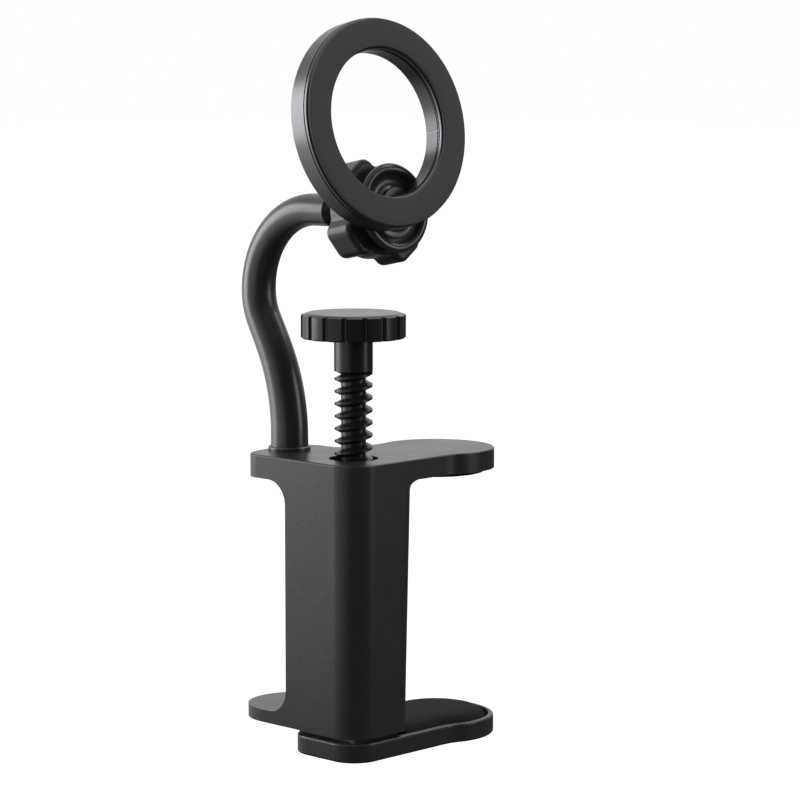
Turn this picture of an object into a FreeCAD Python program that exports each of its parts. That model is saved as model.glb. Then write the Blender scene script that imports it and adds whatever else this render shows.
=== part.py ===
"""Guitar phone holder: screw clamp, bent arm, ball joint and magnetic ring head.

Millimetres, +Z up. Bodies are drawn about the clamp screw's axis, with the top of the
upper jaw at height 0, and are placed so that the origin is the middle of the upper pad's
gripping face. The ball joint's pieces are drawn about the ball's centre.
"""
import FreeCAD, Part
import Sketcher
import math
import os

Vector = FreeCAD.Vector

# Driving sizes, in millimetres and degrees.
SIZES = {
    # Clamp body: upper jaw and column
    "deck_thick": 5.8,
    "column_front": 13.9,
    "column_near": 14.1,
    "column_far": 13.4,
    "column_height": 76.7,
    "throat_top": 10.6,
    "throat_draft": 2.1,
    "front_corner": 8.0,
    "throat_corner": 4.0,
    "wall": 2.4,
    "throat_wall": 2.0,
    "root_fillet": 6.8,
    "throat_fillet": 2.8,
    "edge_round": 0.5,
    # Clamp body: round end and side tongues
    "jaw_reach": 34.0,
    "jaw_offset": 0.6,
    "jaw_radius": 16.9,
    "jaw_far_side": 16.4,
    "jaw_blend": 12.0,
    "tongue_side": 13.0,
    "tongue_reach": 29.0,
    "tongue_thick": 6.6,
    "tongue_bulge_radius": 28.0,
    "tongue_blend": 6.0,
    "tongue_corner": 6.0,
    "foot_reach": 37.05,
    "foot_thick": 3.6,
    # Clamp screw and its bush
    "screw_hole_radius": 7.0,
    "bush_depth": 6.0,
    "bush_length": 10.0,
    "bush_half_width": 7.5,
    "ledge_thick": 2.0,
    "ledge_hole_radius": 6.0,
    "thread_pitch": 3.5,
    "thread_major_radius": 5.35,
    "thread_minor_radius": 3.5,
    "thread_crest": 0.65,
    "thread_root": 2.75,
    "thread_clearance": 0.32,
    "thread_top": 24.7,
    "shank_radius": 5.45,
    "knob_underside": 33.9,
    "knob_height": 7.05,
    "knob_radius": 14.67,
    "knob_top_radius": 13.0,
    "knob_top_drop": 0.6,
    "knob_chamfer": 0.4,
    "knob_groove_radius": 0.85,
    "knob_grooves": 16,
    "knob_turn": -9.6,
    # Lower jaw, its guide post and the swivel
    "foot_gap": 1.35,
    "tray_height": 5.45,
    "tray_rim": 1.4,
    "tray_depth": 2.2,
    "tray_round": 0.6,
    "rim_round": 0.7,
    "post_clearance": 0.4,
    "post_top_gap": 1.4,
    "post_wall": 2.0,
    "post_top_thick": 4.0,
    "swivel_radius": 2.4,
    "swivel_clearance": 0.3,
    "swivel_washer_radius": 3.5,
    "swivel_washer_thick": 1.0,
    "swivel_screw_radius": 1.5,
    "swivel_screw_depth": 7.0,
    "swivel_head_radius": 2.7,
    "swivel_head_height": 2.0,
    # Pads
    "pad_clearance": 0.3,
    "lower_pad_start": 9.2,
    "lower_pad_height": 4.0,
    "lower_pad_round": 2.4,
    "upper_pad_radius": 14.4,
    "upper_pad_recess": 1.5,
    "upper_pad_proud": 1.4,
    "upper_pad_round": 0.6,
    # Bent arm
    "arm_foot": 25.9,
    "arm_rise": 4.36,
    "arm_lower_radius": 53.4,
    "arm_lean": 29.07,
    "arm_straight": 7.2,
    "arm_upper_radius": 17.9,
    "arm_arch_radius": 23.7,
    "arm_end_run": 8.1,
    "arm_foot_radius": 5.4,
    "arm_end_radius": 4.45,
    "arm_end_chamfer": 1.5,
    "arm_collar_radius": 6.1,
    "arm_collar_height": 1.2,
    "arm_collar_round": 0.5,
    "arm_screw_radius": 2.0,
    "arm_screw_depth": 9.0,
    "arm_head_radius": 3.6,
    "arm_head_height": 2.0,
    "arm_washer_radius": 4.0,
    "arm_washer_thick": 0.6,
    "arm_washer_clearance": 0.4,
    "arm_head_sink": 0.3,
    # Ball joint
    "ball_reach": 7.8,
    "ball_radius": 7.0,
    "ball_clearance": 0.3,
    "neck_radius": 2.6,
    "neck_depth": 8.0,
    "pad_thick": 1.0,
    "pad_half_width": 4.6,
    "seat_ring_front": 0.6,
    "seat_ring_length": 2.6,
    "socket_wall": 1.6,
    "socket_mouth": 0.4,
    "socket_skirt": 5.3,
    "socket_waist": 10.5,
    "socket_rim_radius": 12.45,
    "socket_rim_height": 8.6,
    "socket_rim_width": 3.0,
    "socket_dish_radius": 3.2,
    "socket_boss_radius": 5.5,
    "nut_front": 5.0,
    "nut_length": 9.7,
    "nut_radius": 12.4,
    "nut_lobe_reach": 15.2,
    "nut_lobe_width": 11.0,
    "nut_lobe_round": 3.2,
    "nut_lobes": 4,
    "nut_edge": 1.4,
    "nut_valley_round": 2.4,
    "nut_lip_clearance": 0.3,
    "nut_lip_radius": 6.4,
    "nut_lip_flare": 1.1,
    "head_pan": -2.5,
    "head_tilt": 10.9,
    "head_roll": 15.3,
    "nut_roll": 34,
    # Ring head
    "ring_back": 10.35,
    "ring_offset": 23.2,
    "ring_outer": 28.8,
    "ring_inner": 20.2,
    "housing_depth": 5.2,
    "housing_floor": 1.4,
    "housing_wall": 1.5,
    "housing_edge": 0.35,
    "cover_step": 0.1,
    "cover_groove": 0.3,
    "cover_thick": 1.35,
    "cover_chamfer": 0.4,
    "ring_pad_inset": 0.5,
    "ring_pad_thick": 0.75,
    "ring_pad_round": 0.2,
    "yoke_thick": 0.8,
    "magnet_gap": 2.5,
    "magnets": 16,
    "head_screw_spread": 3.0,
    "head_screw_radius": 1.0,
    "head_screw_depth": 1.6,
    "head_screw_head": 2.0,
    "head_screw_sink": 0.7,
}

doc = FreeCAD.newDocument("guitar_phone_holder")
sheet = doc.addObject("Spreadsheet::Sheet", "Sizes")


class Dim:
    """A size: its number, and the sheet formula that gives it."""

    def __init__(self, value, text):
        self.value = value
        self.text = text

    def __add__(self, other):
        other = dim(other)
        return Dim(self.value + other.value, f"({self.text} + {other.text})")

    def __sub__(self, other):
        other = dim(other)
        return Dim(self.value - other.value, f"({self.text} - {other.text})")

    def __mul__(self, other):
        other = dim(other)
        return Dim(self.value * other.value, f"({self.text} * {other.text})")

    def __truediv__(self, other):
        other = dim(other)
        return Dim(self.value / other.value, f"({self.text} / {other.text})")

    def __neg__(self):
        return Dim(-self.value, f"(-1 * {self.text})")


def dim(number):
    """A plain number as a size."""
    if isinstance(number, Dim):
        return number
    return Dim(float(number), str(number))


def sqrt(size):
    """Square root of a size."""
    return Dim(math.sqrt(size.value), f"sqrt({size.text})")


def sin(angle):
    """Sine of an angle in degrees."""
    return Dim(math.sin(math.radians(angle.value)), f"sin({angle.text})")


def cos(angle):
    """Cosine of an angle in degrees."""
    return Dim(math.cos(math.radians(angle.value)), f"cos({angle.text})")


def fill_sheet():
    """Write every driving size to the sheet, and return them by name."""
    sizes = {}
    for row, (name, value) in enumerate(SIZES.items(), start=1):
        sheet.set(f"A{row}", name)
        sheet.set(f"B{row}", str(value))
        sheet.setAlias(f"B{row}", name)
        sizes[name] = Dim(float(value), f"Sizes.{name}")
    doc.recompute()
    return sizes


S = fill_sheet()
ZERO = dim(0)

# Heights that several pieces share, measured from the top of the upper jaw.
deck_bottom = -S["deck_thick"]
tongue_bottom = -S["tongue_thick"]
column_bottom = -S["column_height"]
ceiling = -(S["bush_depth"] + S["bush_length"] + S["ledge_thick"])
throat_bottom = S["throat_top"] - S["throat_draft"]
cavity_throat = throat_bottom - S["throat_wall"]
rim_top = column_bottom - S["foot_gap"]
tray_floor = rim_top - S["tray_depth"]
tray_bottom = rim_top - S["tray_height"]
post_top = ceiling - S["post_top_gap"]
screw_shoulder = post_top + S["swivel_clearance"]
thread_start = screw_shoulder + S["thread_root"] / 2 + S["thread_clearance"]
swivel_end = post_top - S["post_top_thick"] - S["swivel_clearance"]
knob_top = S["knob_underside"] + S["knob_height"]
arm_seat = tongue_bottom + S["arm_head_sink"] + S["arm_head_height"] + S["arm_washer_thick"]

# The thread's section starts this far inside the core, so that the two join.
THREAD_SINK = 0.3
# Radius of the socket's rim as a share of its width, a little fuller than a half round.
RIM_FULLNESS = 0.52

# The arm's path, in the plane through the screw's axis.
lean_sin = sin(S["arm_lean"])
lean_cos = cos(S["arm_lean"])
bend_one_y = S["arm_foot"] + S["arm_lower_radius"] * (dim(1) - lean_cos)
bend_one_z = S["arm_rise"] + S["arm_lower_radius"] * lean_sin
bend_two_y = bend_one_y + S["arm_straight"] * lean_sin
bend_two_z = bend_one_z + S["arm_straight"] * lean_cos
arch_start_y = bend_two_y + S["arm_upper_radius"] * (dim(1) - lean_cos)
arch_start_z = bend_two_z + S["arm_upper_radius"] * lean_sin
arch_end_y = arch_start_y - S["arm_arch_radius"]
arch_end_z = arch_start_z + S["arm_arch_radius"]
arm_end_y = arch_end_y - S["arm_end_run"]

# Radii and depths of the ball joint, measured from the ball's centre.
seat_radius = S["ball_radius"] + S["ball_clearance"]
pad_back_radius = seat_radius + S["pad_thick"]
socket_seat_radius = pad_back_radius + S["ball_clearance"]
skirt_radius = socket_seat_radius + S["socket_wall"]
seat_ring_back = S["seat_ring_front"] + S["seat_ring_length"]
seat_ring_radius = skirt_radius - S["ball_clearance"]
nut_bore_radius = skirt_radius + S["ball_clearance"]
nut_back = S["nut_front"] - S["nut_length"]
lip_front = -(seat_ring_back + S["nut_lip_clearance"])

# Depths of the ring head along the socket's axis.
housing_inside = S["ring_back"] + S["housing_floor"]
housing_front = S["ring_back"] + S["housing_depth"]
cover_front = housing_front + S["cover_thick"]
channel_inner = S["ring_inner"] + S["housing_wall"]
channel_outer = S["ring_outer"] - S["housing_wall"]


def body_called(label):
    """A new body whose label names its file."""
    body = doc.addObject("PartDesign::Body", label)
    body.Label = label
    return body


def origin_feature(body, role):
    """One of a body's own planes or axes."""
    for feature in body.Origin.OriginFeatures:
        if feature.Role == role:
            return feature
    raise RuntimeError(f"{body.Label} has no {role}")


def sketch_on(body, name, role, offset=None):
    """A sketch on one of the body's own planes, moved along its normal by offset."""
    sketch = body.newObject("Sketcher::SketchObject", name)
    sketch.AttachmentSupport = (origin_feature(body, role), [""])
    sketch.MapMode = "FlatFace"
    if offset is not None:
        sketch.setExpression("AttachmentOffset.Base.z", offset.text)
    doc.recompute()
    return sketch


def fix_point(sketch, edge, end, x, y):
    """Hold a point of a sketch at x, y from the sketch's origin."""
    for kind, place in (("DistanceX", x), ("DistanceY", y)):
        index = sketch.addConstraint(Sketcher.Constraint(kind, -1, 1, edge, end, place.value))
        sketch.setExpression(f"Constraints[{index}]", place.text)


def fix_radius(sketch, edge, radius):
    """Hold the radius of a sketch edge."""
    index = sketch.addConstraint(Sketcher.Constraint("Radius", edge, radius.value))
    sketch.setExpression(f"Constraints[{index}]", radius.text)


def arc_between(start, end, radius, side):
    """The minor arc from start to end; side 1 bulges to the right of the way, -1 to the left."""
    chord = end - start
    right = Vector(chord.y, -chord.x, 0).normalize()
    drop = math.sqrt(max(radius * radius - chord.Length * chord.Length / 4, 0.0))
    centre = (start + end) * 0.5 - right * (drop * side)
    first, last = (start, end) if side > 0 else (end, start)
    angles = [math.atan2(place.y - centre.y, place.x - centre.x) for place in (first, last)]
    return Part.ArcOfCircle(Part.Circle(centre, Vector(0, 0, 1), radius), *angles)


def outline(sketch, points, closed=True):
    """Draw an outline through points and tie each to its formulas.

    A point is (x, y), reached by a line, or (x, y, radius, side), reached by an arc.
    """
    edges = []
    first = 0 if closed else 1
    for index in range(first, len(points)):
        start = Vector(points[index - 1][0].value, points[index - 1][1].value, 0)
        end = Vector(points[index][0].value, points[index][1].value, 0)
        if len(points[index]) == 2:
            edge = sketch.addGeometry(Part.LineSegment(start, end))
            edges.append((edge, 1, 2, points[index]))
        else:
            radius, side = points[index][2:]
            edge = sketch.addGeometry(arc_between(start, end, radius.value, side))
            begin, finish = (1, 2) if side > 0 else (2, 1)
            edges.append((edge, begin, finish, points[index]))
            fix_radius(sketch, edge, radius)
    for index in range(len(edges)):
        edge, begin, finish, point = edges[index]
        fix_point(sketch, edge, finish, point[0], point[1])
        if closed or index > 0:
            before = edges[index - 1]
            sketch.addConstraint(Sketcher.Constraint("Coincident", before[0], before[2], edge, begin))
    if not closed:
        fix_point(sketch, edges[0][0], edges[0][1], points[0][0], points[0][1])
    doc.recompute()


def circle(sketch, x, y, radius):
    """Draw a circle and tie its centre and radius to their formulas."""
    edge = sketch.addGeometry(
        Part.Circle(Vector(x.value, y.value, 0), Vector(0, 0, 1), radius.value))
    fix_point(sketch, edge, 3, x, y)
    fix_radius(sketch, edge, radius)
    doc.recompute()


def box_outline(left, right, low, high):
    """Corners of an upright rectangle."""
    return [(left, low), (right, low), (right, high), (left, high)]


def feature(body, kind, name, sketch, **formulas):
    """Add a sketch feature whose properties follow the given formulas."""
    made = body.newObject(f"PartDesign::{kind}", name)
    made.Profile = sketch
    if kind in ("Revolution", "Groove", "AdditiveHelix", "SubtractiveHelix"):
        made.ReferenceAxis = (sketch, ["V_Axis"])
    for prop, formula in formulas.items():
        made.setExpression(prop, formula.text)
    return made


def pad(body, name, sketch, length, down=False):
    """Add a sketch's area along its normal; down adds it the other way."""
    made = feature(body, "Pad", name, sketch, Length=length)
    made.Reversed = down
    doc.recompute()
    return made


def pocket(body, name, sketch, depth, up=False):
    """Cut along the sketch's normal; up cuts the way that the normal points."""
    before = body.Shape.Volume
    made = feature(body, "Pocket", name, sketch, Length=depth)
    made.Reversed = up
    doc.recompute()
    if body.Shape.Volume >= before:
        raise RuntimeError(f"{body.Label}: {name} cuts nothing")
    return made


def turned(body, name, points):
    """Turn an outline of (radius, height) points about the body's Z axis."""
    sketch = sketch_on(body, f"{name}_outline", "XZ_Plane")
    outline(sketch, points)
    made = feature(body, "Revolution", name, sketch)
    made.Angle = 360
    doc.recompute()
    return made


def bored(body, name, points):
    """Cut an outline of (radius, height) points, turned about the body's Z axis."""
    before = body.Shape.Volume
    sketch = sketch_on(body, f"{name}_outline", "XZ_Plane")
    outline(sketch, points)
    made = feature(body, "Groove", name, sketch)
    made.Angle = 360
    doc.recompute()
    if body.Shape.Volume >= before:
        raise RuntimeError(f"{body.Label}: {name} cuts nothing")
    return made


def edges_where(shape, test):
    """Names of the edges whose end points and middle all pass a test."""
    names = []
    for number, edge in enumerate(shape.Edges, start=1):
        middle = edge.valueAt((edge.FirstParameter + edge.LastParameter) / 2)
        places = [vertex.Point for vertex in edge.Vertexes] + [middle]
        if all(test(place) for place in places):
            names.append(f"Edge{number}")
    return names


def near(number, size):
    """True where a number is a size, within the model's tolerance."""
    return abs(number - size.value) < 0.01


def dress(body, kind, name, size, test):
    """Round or chamfer the edges of a body that pass a test."""
    base = body.Tip
    edges = edges_where(base.Shape, test)
    if not edges:
        raise RuntimeError(f"{body.Label}: {name} finds no edge")
    made = body.newObject(f"PartDesign::{kind}", name)
    made.Base = (base, edges)
    made.setExpression("Radius" if kind == "Fillet" else "Size", size.text)
    doc.recompute()
    return made


def repeat_round(body, name, features, count):
    """Repeat features evenly about the body's Z axis."""
    pattern = body.newObject("PartDesign::PolarPattern", name)
    pattern.Originals = features
    pattern.Axis = (origin_feature(body, "Z_Axis"), [""])
    pattern.Angle = 360
    pattern.setExpression("Occurrences", count.text)
    body.Tip = pattern
    doc.recompute()
    return pattern


def round_end(inset, far_side):
    """Points of a jaw's plan from the near side, round its end, to the far side."""
    low = -(S["column_near"] - inset)
    high = far_side - inset
    centre_x, centre_y = S["jaw_reach"], S["jaw_offset"]
    radius = S["jaw_radius"] - inset
    blend = S["jaw_blend"] + inset
    reach = radius + blend
    share = radius / reach
    low_drop = centre_y - low + blend
    low_run = sqrt(reach * reach - low_drop * low_drop)
    high_rise = high + blend - centre_y
    high_run = sqrt(reach * reach - high_rise * high_rise)
    return [
        (centre_x - low_run, low),
        (centre_x - low_run * share, centre_y - low_drop * share, blend, -1),
        (centre_x + radius, centre_y, radius, 1),
        (centre_x - high_run * share, centre_y + high_rise * share, radius, 1),
        (centre_x - high_run, high, blend, -1),
    ]


def deck_plan():
    """Plan of the upper jaw with its side tongue."""
    left, low = -S["column_front"], -S["column_near"]
    side, blend = S["tongue_side"], S["tongue_blend"]
    high = S["jaw_far_side"]
    corner = S["front_corner"]
    return [(left + corner, low, corner, 1)] + round_end(ZERO, high) + [
        (side + blend, high),
        (side, high + blend, blend, -1),
        (side, S["tongue_reach"]),
        (left, S["tongue_reach"], S["tongue_bulge_radius"], 1),
        (left, low + corner),
    ]


def tray_plan(inset):
    """Plan of the lower jaw, drawn further in by inset."""
    left = inset - S["column_front"]
    low = inset - S["column_near"]
    high = S["column_far"] - inset
    corner = S["front_corner"] - inset
    return [(left + corner, low, corner, 1)] + round_end(inset, S["column_far"]) + [
        (left + corner, high),
        (left, high - corner, corner, 1),
        (left, low + corner),
    ]


def lower_pad_plan():
    """Plan of the lower pad: the tray's round end, cut off beside the column."""
    inset = S["tray_rim"] + S["pad_clearance"]
    points = round_end(inset, S["column_far"])
    start = S["lower_pad_start"]
    return [(start, points[0][1])] + points + [(start, points[-1][1])]


def column_plan(throat):
    """Plan of the column, with the throat side at the given place."""
    left, low = -S["column_front"], -S["column_near"]
    high = S["column_far"]
    front, back = S["front_corner"], S["throat_corner"]
    return [
        (left + front, low, front, 1),
        (throat - back, low),
        (throat, low + back, back, 1),
        (throat, high - back),
        (throat - back, high, back, 1),
        (left, high),
        (left, low + front),
    ]


def tongue_root(throat):
    """Points of a tongue's plan inside the column and along its side, up to its blend."""
    inner = throat - S["throat_corner"]
    return [
        (-S["column_front"], ZERO),
        (inner, ZERO),
        (inner, S["column_far"]),
        (S["tongue_side"], S["column_far"] + S["tongue_blend"]),
    ]


def tongue_plan():
    """Plan of the upper tongue, which is thicker than the jaw that it is part of."""
    return tongue_root(S["throat_top"]) + [
        (S["tongue_side"], S["tongue_reach"]),
        (-S["column_front"], S["tongue_reach"], S["tongue_bulge_radius"], 1),
    ]


def foot_plan():
    """Plan of the lower tongue, which has a half-round end."""
    half = (S["column_front"] + S["tongue_side"]) / 2
    centre = S["foot_reach"] - half
    return tongue_root(throat_bottom) + [
        (S["tongue_side"], centre),
        (S["tongue_side"] - half, S["foot_reach"], half, 1),
        (-S["column_front"], centre, half, 1),
    ]


def hexagon(half_width):
    """Hexagon with two flats across X."""
    rise = half_width / math.sqrt(3)
    return [(half_width, -rise), (half_width, rise), (ZERO, rise * 2),
            (-half_width, rise), (-half_width, -rise), (ZERO, -rise * 2)]


def thread_outline(widen):
    """Section of the clamp thread, wider on every flank by widen."""
    inner = S["thread_minor_radius"] - THREAD_SINK
    outer = S["thread_major_radius"] + widen
    root = S["thread_root"] / 2 + widen
    crest = S["thread_crest"] / 2 + widen
    return [(inner, thread_start - root), (outer, thread_start - crest),
            (outer, thread_start + crest), (inner, thread_start + root)]


def make_clamp_body():
    """Column, upper jaw and both side tongues, one hollow moulding."""
    body = body_called("clamp_body")
    plan = sketch_on(body, "deck_plan", "XY_Plane")
    outline(plan, deck_plan())
    pad(body, "deck", plan, S["deck_thick"], down=True)

    plan = sketch_on(body, "foot_plan", "XY_Plane", column_bottom)
    outline(plan, foot_plan())
    pad(body, "foot", plan, S["foot_thick"])

    top = sketch_on(body, "column_top", "XY_Plane", deck_bottom)
    outline(top, column_plan(S["throat_top"]))
    bottom = sketch_on(body, "column_foot", "XY_Plane", column_bottom)
    outline(bottom, column_plan(throat_bottom))
    column = body.newObject("PartDesign::AdditiveLoft", "column")
    column.Profile = top
    column.Sections = [bottom]
    doc.recompute()

    def throat_root(place):
        return near(place.z, deck_bottom) and near(place.x, S["throat_top"])

    dress(body, "Fillet", "throat_root", S["throat_fillet"], throat_root)
    plan = sketch_on(body, "tongue_plan", "XY_Plane")
    outline(plan, tongue_plan())
    pad(body, "tongue", plan, S["tongue_thick"], down=True)

    foot_top = column_bottom + S["foot_thick"]
    far, inside = S["column_far"], S["column_far"] - S["wall"]
    fillet = S["root_fillet"]
    root = sketch_on(body, "lower_root_outline", "YZ_Plane", -S["column_front"])
    outline(root, [
        (inside, column_bottom),
        (far + fillet, column_bottom),
        (far + fillet, foot_top),
        (far, foot_top + fillet, fillet, -1),
        (inside, foot_top + fillet),
    ])
    pad(body, "lower_root", root, S["column_front"] + throat_bottom - S["throat_corner"])
    root = sketch_on(body, "upper_root_outline", "YZ_Plane", -S["column_front"])
    outline(root, [
        (inside, tongue_bottom - fillet),
        (far, tongue_bottom - fillet),
        (far + fillet, tongue_bottom, fillet, -1),
        (far + fillet, deck_bottom),
        (inside, deck_bottom),
    ])
    pad(body, "upper_root", root, S["column_front"] + S["throat_top"] - S["throat_corner"])

    def tongue_corner(place):
        on_side = near(place.x, -S["column_front"]) or near(place.x, S["tongue_side"])
        return on_side and near(place.y, S["tongue_reach"])

    dress(body, "Fillet", "tongue_corners", S["tongue_corner"], tongue_corner)
    dress(body, "Fillet", "deck_edge", S["edge_round"], lambda place: near(place.z, ZERO))

    hole = sketch_on(body, "screw_hole_plan", "XY_Plane")
    circle(hole, ZERO, ZERO, S["screw_hole_radius"])
    pocket(body, "screw_hole", hole, S["bush_depth"])
    hole = sketch_on(body, "bush_seat_plan", "XY_Plane", -S["bush_depth"])
    outline(hole, hexagon(S["bush_half_width"]))
    pocket(body, "bush_seat", hole, S["bush_length"])
    hole = sketch_on(body, "ledge_hole_plan", "XY_Plane", -(S["bush_depth"] + S["bush_length"]))
    circle(hole, ZERO, ZERO, S["ledge_hole_radius"])
    pocket(body, "ledge_hole", hole, S["ledge_thick"])

    cavity = sketch_on(body, "cavity_plan", "XY_Plane", column_bottom)
    outline(cavity, box_outline(S["wall"] - S["column_front"], cavity_throat,
                                S["wall"] - S["column_near"], S["column_far"] - S["wall"]))
    pocket(body, "cavity", cavity, S["column_height"] + ceiling, up=True)

    recess = sketch_on(body, "pad_recess_plan", "XY_Plane", deck_bottom)
    circle(recess, S["jaw_reach"], S["jaw_offset"], S["upper_pad_radius"] + S["pad_clearance"])
    pocket(body, "pad_recess", recess, S["upper_pad_recess"], up=True)
    recess = sketch_on(body, "arm_screw_plan", "XY_Plane", tongue_bottom)
    circle(recess, ZERO, S["arm_foot"], S["arm_screw_radius"] + S["arm_washer_clearance"] / 2)
    pocket(body, "arm_screw_hole", recess, S["tongue_thick"], up=True)
    recess = sketch_on(body, "arm_head_plan", "XY_Plane", tongue_bottom)
    circle(recess, ZERO, S["arm_foot"], S["arm_washer_radius"] + S["arm_washer_clearance"])
    pocket(body, "arm_head_recess", recess, arm_seat - tongue_bottom, up=True)
    return body


def make_thread_bush():
    """Six-sided bush with the clamp thread, moulded into the column."""
    body = body_called("thread_bush")
    plan = sketch_on(body, "bush_plan", "XY_Plane", -S["bush_depth"])
    outline(plan, hexagon(S["bush_half_width"]))
    pad(body, "bush", plan, S["bush_length"], down=True)
    plan = sketch_on(body, "bush_bore_plan", "XY_Plane", -S["bush_depth"])
    circle(plan, ZERO, ZERO, S["thread_minor_radius"] + S["thread_clearance"])
    pocket(body, "bush_bore", plan, S["bush_length"])
    section = sketch_on(body, "bush_thread_outline", "XZ_Plane")
    outline(section, thread_outline(S["thread_clearance"]))
    before = body.Shape.Volume
    cut_height = S["bush_length"] + S["ledge_thick"] + S["thread_pitch"]
    feature(body, "SubtractiveHelix", "bush_thread", section,
            Pitch=S["thread_pitch"], Height=cut_height)
    doc.recompute()
    if body.Shape.Volume >= before:
        raise RuntimeError("thread_bush: the thread cuts nothing")
    return body


def make_clamp_screw():
    """Knob, shank, coarse thread and swivel end, one moulding."""
    body = body_called("clamp_screw")
    shoulder = S["thread_top"] - (S["shank_radius"] - S["thread_minor_radius"]) / 2
    turned(body, "screw", [
        (ZERO, knob_top),
        (ZERO, swivel_end),
        (S["swivel_radius"], swivel_end),
        (S["swivel_radius"], screw_shoulder),
        (S["thread_minor_radius"], screw_shoulder),
        (S["thread_minor_radius"], shoulder),
        (S["shank_radius"], S["thread_top"]),
        (S["shank_radius"], S["knob_underside"]),
        (S["knob_radius"] - S["knob_chamfer"], S["knob_underside"]),
        (S["knob_radius"], S["knob_underside"] + S["knob_chamfer"]),
        (S["knob_radius"], knob_top - S["knob_top_drop"]),
        (S["knob_top_radius"], knob_top),
    ])
    groove = sketch_on(body, "groove_plan", "XY_Plane", knob_top)
    circle(groove, S["knob_radius"] * cos(S["knob_turn"]), S["knob_radius"] * sin(S["knob_turn"]),
           S["knob_groove_radius"])
    cut = pocket(body, "groove", groove, S["knob_height"])
    repeat_round(body, "grooves", [cut], S["knob_grooves"])
    section = sketch_on(body, "thread_outline", "XZ_Plane")
    outline(section, thread_outline(ZERO))
    thread_run = S["thread_top"] - thread_start + S["thread_pitch"] / 2
    feature(body, "AdditiveHelix", "thread", section, Pitch=S["thread_pitch"], Height=thread_run)
    doc.recompute()
    hole = sketch_on(body, "swivel_hole_plan", "XY_Plane", swivel_end)
    circle(hole, ZERO, ZERO, S["swivel_screw_radius"])
    pocket(body, "swivel_hole", hole, S["swivel_screw_depth"], up=True)
    return body


def make_swivel():
    """Washer and screw that hold the lower jaw on the clamp screw's end."""
    washer = body_called("swivel_washer")
    washer_bottom = swivel_end - S["swivel_washer_thick"]
    turned(washer, "washer", box_outline(S["swivel_screw_radius"], S["swivel_washer_radius"],
                                         washer_bottom, swivel_end))
    screw = body_called("swivel_screw")
    head_bottom = washer_bottom - S["swivel_head_height"]
    turned(screw, "screw", [
        (ZERO, swivel_end + S["swivel_screw_depth"]),
        (ZERO, head_bottom),
        (S["swivel_head_radius"], head_bottom),
        (S["swivel_head_radius"], washer_bottom),
        (S["swivel_screw_radius"], washer_bottom),
        (S["swivel_screw_radius"], swivel_end + S["swivel_screw_depth"]),
    ])
    return washer, screw


def make_lower_jaw():
    """Tray-like jaw with the hollow guide post that runs in the column."""
    body = body_called("lower_jaw")
    plan = sketch_on(body, "jaw_plan", "XY_Plane", rim_top)
    outline(plan, tray_plan(ZERO))
    pad(body, "jaw", plan, S["tray_height"], down=True)
    dress(body, "Fillet", "jaw_edge", S["tray_round"], lambda place: near(place.z, tray_bottom))
    dress(body, "Fillet", "rim_edge", S["rim_round"], lambda place: near(place.z, rim_top))
    plan = sketch_on(body, "tray_plan", "XY_Plane", rim_top)
    outline(plan, tray_plan(S["tray_rim"]))
    pocket(body, "tray", plan, S["tray_depth"])

    gap = S["wall"] + S["post_clearance"]
    left, right = gap - S["column_front"], cavity_throat - S["post_clearance"]
    low, high = gap - S["column_near"], S["column_far"] - gap
    wall = S["post_wall"]
    plan = sketch_on(body, "post_plan", "XY_Plane", tray_floor)
    outline(plan, box_outline(left, right, low, high))
    pad(body, "post", plan, post_top - tray_floor)
    plan = sketch_on(body, "post_hollow_plan", "XY_Plane", tray_bottom)
    outline(plan, box_outline(left + wall, right - wall, low + wall, high - wall))
    pocket(body, "post_hollow", plan, post_top - S["post_top_thick"] - tray_bottom, up=True)
    plan = sketch_on(body, "swivel_plan", "XY_Plane", post_top)
    circle(plan, ZERO, ZERO, S["swivel_radius"] + S["swivel_clearance"])
    pocket(body, "swivel_bore", plan, S["post_top_thick"])
    return body


def make_pads():
    """Soft gripping pads of both jaws."""
    lower = body_called("lower_pad")
    plan = sketch_on(lower, "lower_pad_plan", "XY_Plane", tray_floor)
    outline(plan, lower_pad_plan())
    pad(lower, "lower_pad_block", plan, S["lower_pad_height"])
    top = tray_floor + S["lower_pad_height"]
    dress(lower, "Fillet", "lower_pad_crown", S["lower_pad_round"], lambda place: near(place.z, top))
    upper = body_called("upper_pad")
    plan = sketch_on(upper, "upper_pad_plan", "XY_Plane", deck_bottom + S["upper_pad_recess"])
    circle(plan, S["jaw_reach"], S["jaw_offset"], S["upper_pad_radius"])
    pad(upper, "upper_pad_disc", plan, S["upper_pad_recess"] + S["upper_pad_proud"], down=True)
    face = deck_bottom - S["upper_pad_proud"]
    dress(upper, "Fillet", "upper_pad_edge", S["upper_pad_round"], lambda place: near(place.z, face))
    return lower, upper


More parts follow.
